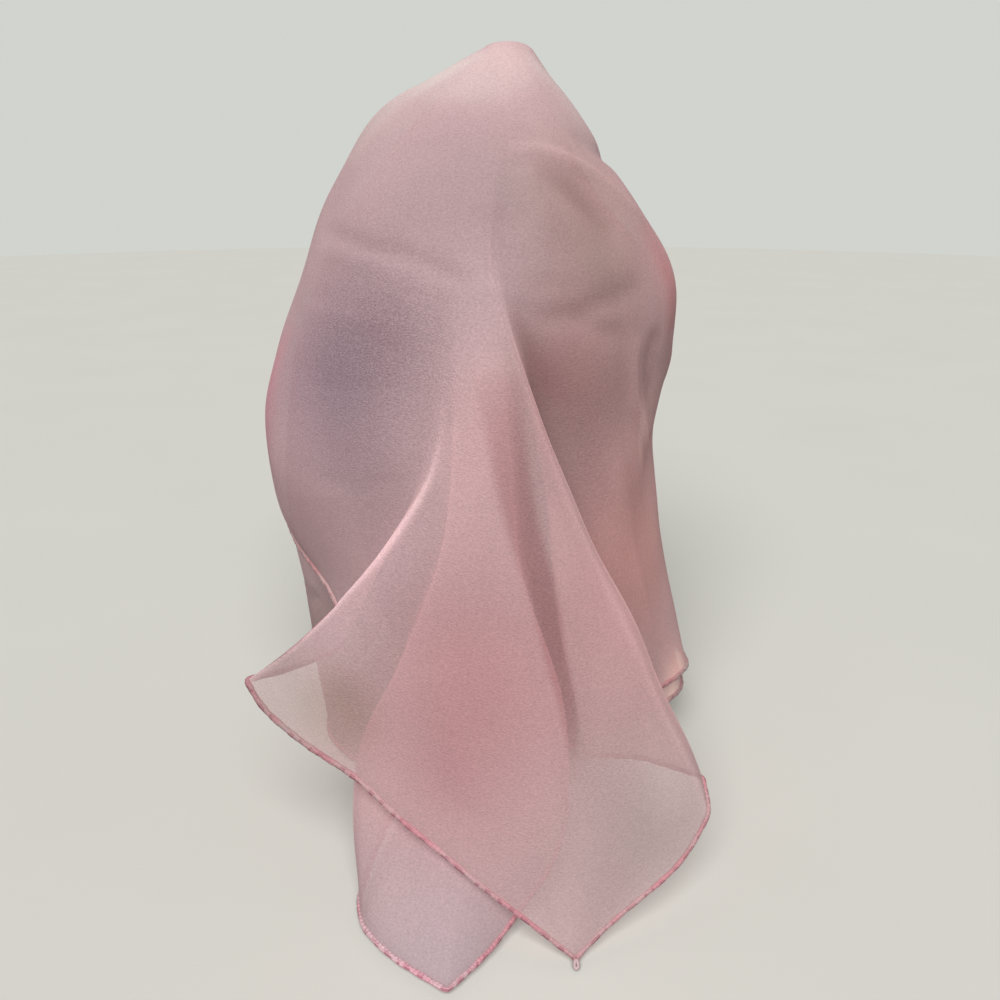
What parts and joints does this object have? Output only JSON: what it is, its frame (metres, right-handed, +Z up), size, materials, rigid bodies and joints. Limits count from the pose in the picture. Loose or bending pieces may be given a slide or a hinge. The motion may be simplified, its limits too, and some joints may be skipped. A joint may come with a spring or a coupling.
{
  "type": "chiffon scarf draped on a display head form",
  "caption": "Square of sheer cloth folded to two layers and draped over a plain display head form, with its corners hanging in a fold at the front and a rolled hem along its edges.",
  "frame": {"origin": "centre of the underside of the display form's round base", "axes": "+Z up, -Y towards the front where the two corners hang, +X to the right as seen from the front"},
  "size_m": [0.1878, 0.2969, 0.2999],
  "materials": {
    "chiffon": "sheer crepe chiffon with a soft sheen, see-through where it is single",
    "rolled_hem": "tightly rolled and overlocked edge, a deeper pink",
    "form_paint": "matt painted rigid foam"
  },
  "bodies": {
    "root": {"outer_crown": "chiffon", "outer_right": "chiffon", "outer_back": "chiffon", "outer_left": "chiffon", "outer_front_fold": "chiffon", "inner_crown": "chiffon", "inner_right": "chiffon", "inner_back": "chiffon", "inner_left": "chiffon", "inner_front_fold": "chiffon", "folded_edge": "chiffon", "outer_hem": "rolled_hem", "inner_hem": "rolled_hem", "display_head": "form_paint", "display_base": "form_paint"}
  },
  "joints": []
}
